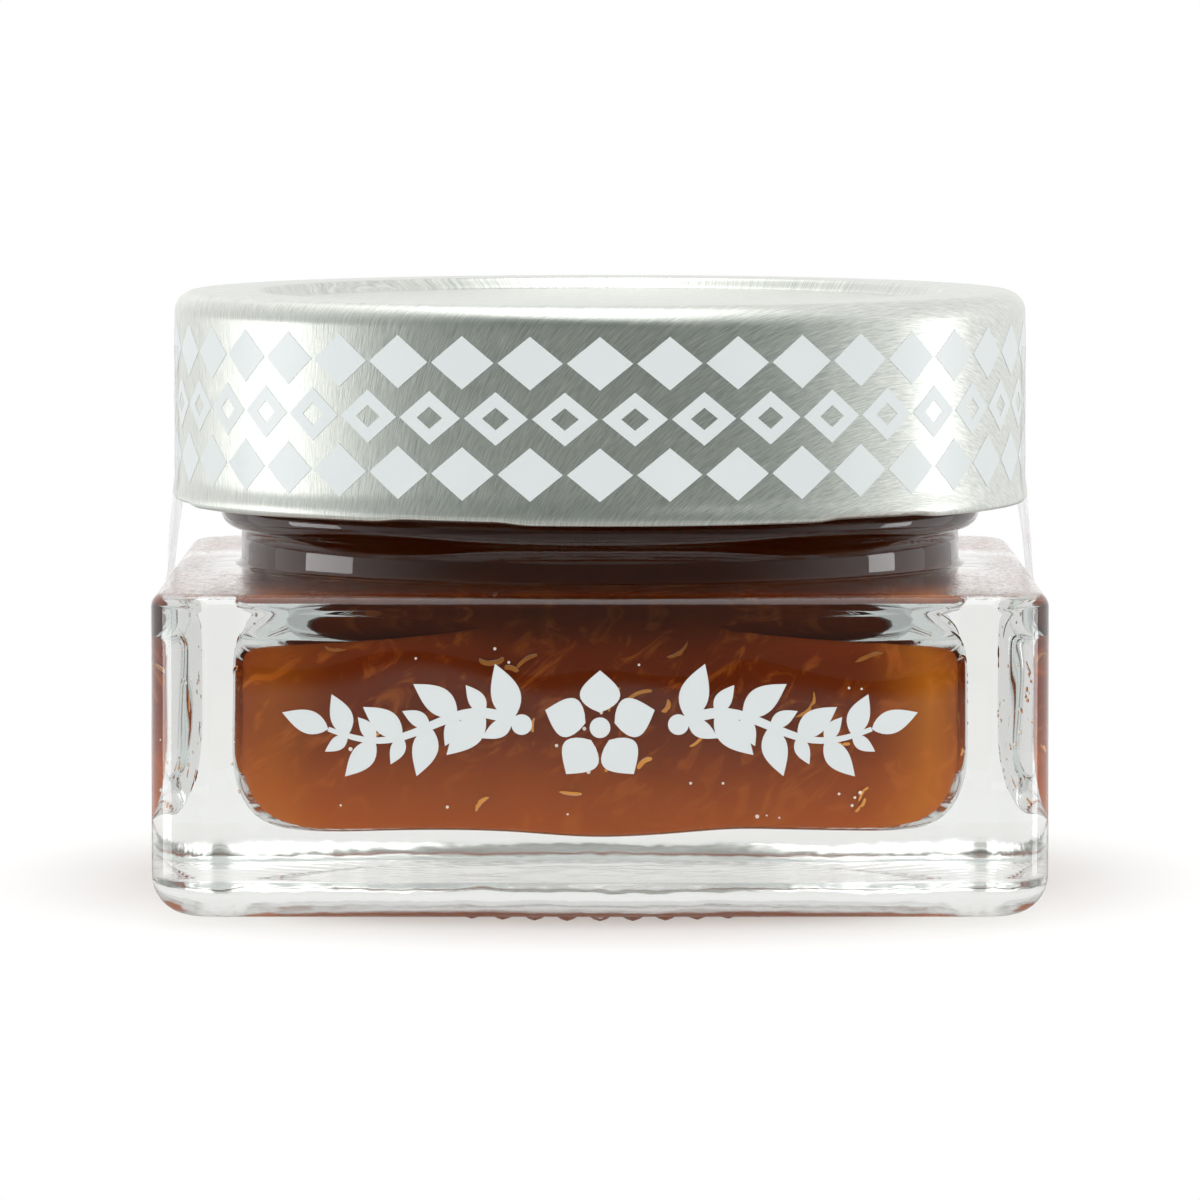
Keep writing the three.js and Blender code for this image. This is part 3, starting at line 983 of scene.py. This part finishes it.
FILM_OFF = 0.03
FILM_SHEET = 0.06
FILM_ROWS = (8, 8, 5)  # on the lid, free, and on the glass
FILM_COLUMNS = 17
FILM_LEAVES_LID = LID_BOTTOM + 0.2
FILM_MEETS_GLASS = BODY_TOP - TOP_ROUND + 0.3
FLARE_HEIGHT = 2.5  # the strips spread over the rolled edge within this height
SLACK = 0.12
SLACK_WAVE = 1.1
SLACK_PHASE = 0.6


def film_place(side, y, z, out):
    """A point of a strip at a distance from the middle, at a height and that far out of its inner face."""
    flare = CURL_FLARE * clamp((FILM_LEAVES_LID + FLARE_HEIGHT - z) / FLARE_HEIGHT, 0, 1)
    on_lid = math.sqrt((LID_RADIUS + flare + FILM_OFF) ** 2 - y * y)
    free = clamp((FILM_LEAVES_LID - z) / (FILM_LEAVES_LID - FILM_MEETS_GLASS), 0, 1)
    slack = SLACK * math.sin(math.pi * free) * math.sin(SLACK_WAVE * y + SLACK_PHASE * side)
    return side * (mix(on_lid, BODY_HALF + FILM_OFF, free) + slack + out), y, z


def film_grid(side):
    """Points and faces of one strip of film, from the lid's side down to the glass body's side."""
    half = (FILM_HIGH[1] - FILM_LOW[1]) / 2
    turns = (FILM_HIGH[2], FILM_LEAVES_LID, FILM_MEETS_GLASS, FILM_LOW[2])
    on_lid, free, on_glass = FILM_ROWS
    heights = [
        *np.linspace(turns[0], turns[1], on_lid), *np.linspace(turns[1], turns[2], free + 1)[1:],
        *np.linspace(turns[2], turns[3], on_glass + 1)[1:],
    ]
    across = np.linspace(-half, half, FILM_COLUMNS)
    points = [film_place(side, y, z, out) for out in (0, FILM_SHEET) for z in heights for y in across]
    faces = slab_faces(0, len(heights), FILM_COLUMNS)
    return points, faces if side > 0 else [face[::-1] for face in faces]


# Peel and bubbles

PROFILES = 720  # directions in which the marmalade's side is measured
WALL_REACH = 0.84  # how far peel and bubbles spread across a wall, as a share of its half width
WALL_SLOPE = 0.93  # a wall's half width over its distance from the axis
JAM_REACH = 31  # the usual distance of the marmalade's side from the axis
PEEL_SEED = 11
PEEL_PER_WALL = 20
PEEL_HEIGHTS = (8.4, 23.5)
PEEL_ENDS = (7.6, 25)  # the lowest and highest that a shred's end may be
PEEL_LENGTH = (1.3, 3.4)
PEEL_HALF_WIDTH = (0.12, 0.24)
PEEL_TURN = (0.5, 0.6)  # mean and spread of its slope in radians
PEEL_BEND = (-0.9, 0.9)
PEEL_PROUD = 0.03
PEEL_PROUD_SHARE = (0.1, 1.0)
PEEL_HALF_THICK = 0.035
PEEL_SINK = 0.10  # how far a shred's ends are sunk
PEEL_LEAST = 0.03  # the square of the width left at its ends, as a share of the middle's
PEEL_RINGS = 9
PEEL_SIDES = 8
BUBBLE_SEED = 5
BUBBLES_PER_WALL = 26
BUBBLE_HEIGHTS = (8.6, 24.5)
BUBBLE_RADIUS = (0.09, 0.19)
BUBBLE_PROUD = 0.02
BUBBLE_ROWS = 7
BUBBLE_SIDES = 12


def jam_profiles(rings):
    """Reaches and heights of the marmalade's side, a row for each ring and a column for each direction."""
    places = [ring(even_angles(PROFILES)) for ring in rings[len(FLOOR_SHARES):]]
    return np.array([reach for reach, _ in places]), np.array([height for _, height in places])


def on_jam(profiles, angle, z, proud):
    """A point in millimetres that stands out of the marmalade's surface by a distance."""
    column = round(angle / math.tau * PROFILES) % PROFILES
    reach = np.interp(z, profiles[1][:, column], profiles[0][:, column]) + proud
    return np.array([reach * math.cos(angle), reach * math.sin(angle), z])


def wall_places(generator, count, heights):
    """Scattered directions and heights on the four walls."""
    for wall in range(4):
        for _ in range(count):
            across = generator.uniform(-WALL_REACH, WALL_REACH)
            yield wall * math.pi / 2 + math.atan(across * WALL_SLOPE), generator.uniform(*heights)


def peel_shreds(profiles):
    """Fine shreds of peel that show at the marmalade's surface, their ends sunk in it."""
    generator = np.random.default_rng(PEEL_SEED)
    points, faces = [], []
    for angle, z in wall_places(generator, PEEL_PER_WALL, PEEL_HEIGHTS):
        length = generator.uniform(*PEEL_LENGTH)
        half_width = generator.uniform(*PEEL_HALF_WIDTH)
        turn = generator.normal(*PEEL_TURN)
        bend = generator.uniform(*PEEL_BEND)
        proud = PEEL_PROUD * generator.uniform(*PEEL_PROUD_SHARE)
        out = np.array([math.cos(angle), math.sin(angle), 0])
        level = np.array([-math.sin(angle), math.cos(angle), 0])
        start = len(points)
        for i in range(PEEL_RINGS):
            t = i / (PEEL_RINGS - 1) - 0.5
            way = turn + bend * t
            end = (2 * t) ** 4
            taper = math.sqrt(max(1 - end, PEEL_LEAST))
            height = clamp(z + length * t * math.sin(way), *PEEL_ENDS)
            direction = angle + length * t * math.cos(way) / JAM_REACH
            centre = on_jam(profiles, direction, height, proud - PEEL_SINK * end)
            cross = level * -math.sin(way) + np.array([0, 0, math.cos(way)])
            for a in even_angles(PEEL_SIDES):
                flat, thick = half_width * taper * math.cos(a), PEEL_HALF_THICK * taper * math.sin(a)
                points.append(centre + cross * flat + out * thick)
        for i in range(PEEL_RINGS - 1):
            here, there = start + i * PEEL_SIDES, start + (i + 1) * PEEL_SIDES
            for j in range(PEEL_SIDES):
                k = (j + 1) % PEEL_SIDES
                faces.append((here + j, here + k, there + k, there + j))
        faces.append(tuple(start + j for j in range(PEEL_SIDES))[::-1])
        faces.append(tuple(start + (PEEL_RINGS - 1) * PEEL_SIDES + j for j in range(PEEL_SIDES)))
    return points, faces


def bubbles(profiles):
    """Small air bubbles at the marmalade's surface."""
    generator = np.random.default_rng(BUBBLE_SEED)
    points, faces = [], []
    for angle, z in wall_places(generator, BUBBLES_PER_WALL, BUBBLE_HEIGHTS):
        radius = generator.uniform(*BUBBLE_RADIUS)
        centre = on_jam(profiles, angle, z, BUBBLE_PROUD)
        start = len(points)
        for i in range(1, BUBBLE_ROWS):
            down = math.pi * i / BUBBLE_ROWS
            for a in even_angles(BUBBLE_SIDES):
                around = [math.sin(down) * math.cos(a), math.sin(down) * math.sin(a), math.cos(down)]
                points.append(centre + radius * np.array(around))
        points += [centre + [0, 0, radius], centre - [0, 0, radius]]
        top, bottom = len(points) - 2, len(points) - 1
        last = start + (BUBBLE_ROWS - 2) * BUBBLE_SIDES
        for j in range(BUBBLE_SIDES):
            k = (j + 1) % BUBBLE_SIDES
            faces.append((top, start + j, start + k))
            for above in range(start, last, BUBBLE_SIDES):
                below = above + BUBBLE_SIDES
                faces.append((above + j, below + j, below + k, above + k))
            faces.append((bottom, last + k, last + j))
    return points, faces


# Putting the pieces together

glass_body = loft(glass_angles(), UNDERSIDE, glass_rings(), FLOOR)
glass = mesh_object("glass", *glass_body, glass_material(), "clear_glass")
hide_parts("glass_jar")

filling = jam_rings()
jam_body = loft(glass_angles(), FLOOR - JAM_INTO_GLASS, filling, FILL_LEVEL - JAM_DISH)
jam = mesh_object("jam", *jam_body, jam_material(), "marmalade")
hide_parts("marmalade")
jam_side = jam_profiles(filling)
mesh_object("peel_shreds", *peel_shreds(jam_side), peel_material(), "marmalade")
mesh_object("bubbles", *bubbles(jam_side), bubble_material(), "marmalade")

lid_body = loft(even_angles(LID_SIDES), PANEL_TOP - LID_SHEET, lid_rings(), PANEL_TOP)
cap = mesh_object("lid_cap", *lid_body, lid_material(), "lid_metal")
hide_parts("lid")

ink = ink_material()
mesh_object("lid_print", *lid_print(), ink, "print_ink", smooth=False)
mesh_object("front_print", *front_print(), ink, "print_ink", smooth=False)

film = film_material()
for side, node in ((-1, "seal_strip_left"), (1, "seal_strip_right")):
    strip = mesh_object(node.replace("seal", "film"), *film_grid(side), film, "seal_film")
    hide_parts(node)


# Floor, lights and surroundings

GROUND_RADIUS = 290
GROUND_SIDES = 96
LIGHTS_AIM = Vector((0, 0, 30 * MM))
FRONT_MIRRORED = 0.17  # how bright the camera's side is where a surface mirrors it
FRONT_SEEN = 0.92  # how bright it is through glass
MIRRORED_SIDES = (-0.86, 0.04)  # a direction's y, between which that side turns into the bright far one
SEEN_SIDES = (-0.8, 0.2)
FRONT_TINT = (0.90, 1.02, 0.95, 1)

ground = [(GROUND_RADIUS * math.cos(a), GROUND_RADIUS * math.sin(a), 0) for a in even_angles(GROUND_SIDES)]
floor = mesh_object("floor", ground, [tuple(range(GROUND_SIDES))], floor_material(), None)


def softbox(name, azimuth, distance, height, width, tall, power):
    """A rectangular light. Azimuth is in degrees from the camera's side, positive to the right."""
    light = bpy.data.lights.new(name, "AREA")
    light.shape = "RECTANGLE"
    light.size = width * MM
    light.size_y = tall * MM
    light.energy = power
    lamp = bpy.data.objects.new(name, light)
    turn = math.radians(azimuth)
    spot = Vector((distance * math.sin(turn), -distance * math.cos(turn), height)) * MM
    lamp.location = spot
    lamp.rotation_euler = (LIGHTS_AIM - spot).to_track_quat("-Z", "Y").to_euler()
    bpy.context.scene.collection.objects.link(lamp)


softbox("softbox_left", azimuth=-95.5, distance=1000, height=-76, width=400, tall=300, power=1.3)
softbox("softbox_right", azimuth=100.5, distance=1000, height=-76, width=230, tall=300, power=0.8)
softbox("overhead", azimuth=0, distance=150, height=700, width=450, tall=800, power=2.2)


def studio_world():
    """White surroundings.

    The camera's side is dark where surfaces mirror it, and has a cool green tint there and through glass.
    """
    world = bpy.data.worlds.new("studio")
    n = Nodes(world)
    y = n.split(n.add("TexCoord").outputs["Generated"])[1]
    paths = n.add("LightPath").outputs
    shade = n.span(y, *MIRRORED_SIDES, FRONT_MIRRORED, 1.0)
    seen = n.span(y, *SEEN_SIDES, FRONT_SEEN, THROUGH_GLASS)
    bent = n.blend(paths["Is Reflection Ray"], seen, shade)
    direct = n.math("MAXIMUM", paths["Is Camera Ray"], paths["Is Diffuse Ray"])
    background = n.tree.nodes["Background"].inputs
    n.set(background["Strength"], n.blend(direct, bent, 1.0))
    n.set(background["Color"], n.mix_colour(n.math("MAXIMUM", shade, direct), FRONT_TINT, WHITE))
    bpy.context.scene.world = world


studio_world()


# Camera

camera_data = bpy.data.cameras.new("camera")
camera_data.sensor_width = SENSOR
camera_data.lens = FOCAL_PIXELS / PHOTO_WIDTH * SENSOR
camera_data.clip_start = 0.01
camera_data.clip_end = 50
camera = bpy.data.objects.new("camera", camera_data)
camera.location = (0, -CAMERA_DISTANCE * MM, CAMERA_HEIGHT * MM)
camera.rotation_euler = (math.pi / 2 - CAMERA_PITCH, 0, 0)
bpy.context.scene.collection.objects.link(camera)
bpy.context.scene.camera = camera
bpy.context.scene.view_settings.view_transform = "Standard"
light_paths = bpy.context.scene.cycles
light_paths.max_bounces = 14
light_paths.glossy_bounces = 12
light_paths.transmission_bounces = 12
light_paths.transparent_max_bounces = 12
